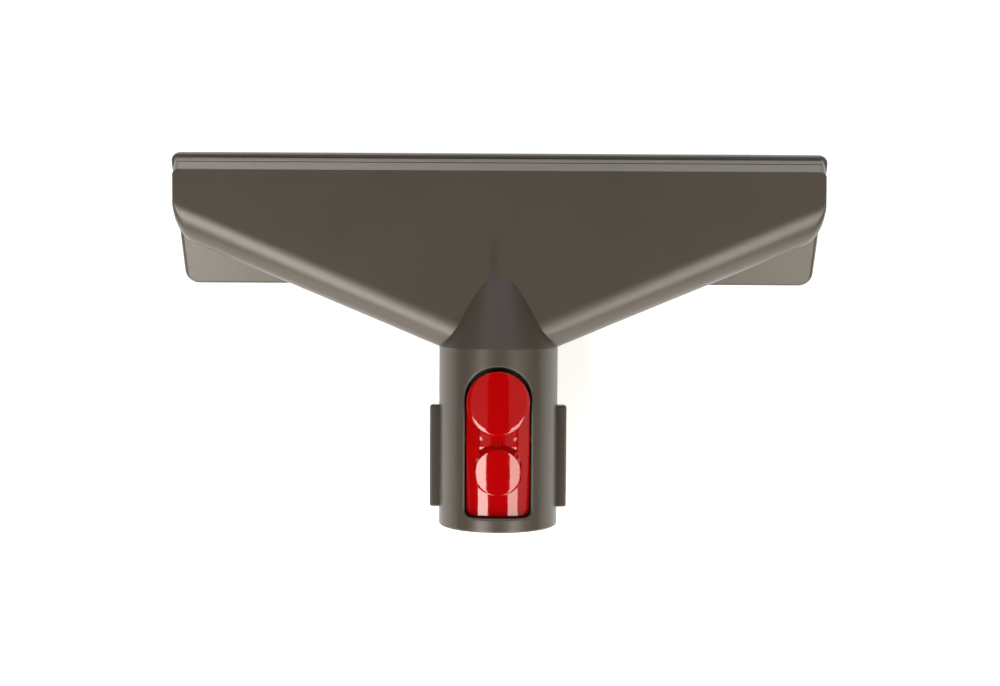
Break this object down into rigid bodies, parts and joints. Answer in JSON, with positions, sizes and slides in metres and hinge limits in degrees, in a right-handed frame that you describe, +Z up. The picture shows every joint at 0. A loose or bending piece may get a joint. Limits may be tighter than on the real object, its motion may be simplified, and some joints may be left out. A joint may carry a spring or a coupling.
{
  "type": "vacuum upholstery nozzle",
  "caption": "Wide flat vacuum nozzle for upholstery and mattresses, with a fan-shaped body, round neck and red quick-release catch.",
  "frame": {"origin": "on the table under the middle of the bounding box", "axes": "+X along the width, +Y from the neck's mouth to the wide end, +Z up, with the nozzle lying as it comes to rest: catch up, on the rear edge of its sole and the rim of its neck"},
  "size_m": [0.2076, 0.1186, 0.039],
  "materials": {
    "body": "semi-matt moulded, dark grey-brown",
    "sole": "semi-matt moulded, dark grey-brown, smooth on its gliding face",
    "catch": "polished red",
    "spring": "bright drawn wire"
  },
  "bodies": {
    "nozzle": {"body_shell": "body", "sole_plate": "sole", "catch_spring": "spring"},
    "catch": {"release_catch": "catch"}
  },
  "joints": [
    {"name": "catch_rock", "type": "hinge", "parent": "nozzle", "child": "catch", "pos_m": [0, -0.03043, 0.03267], "axis": [-1, 0, 0], "range_deg": [0, 5], "stiffness_Nm_per_rad": 0.4, "springref_deg": -8.59, "deforming": ["catch_spring"]}
  ]
}
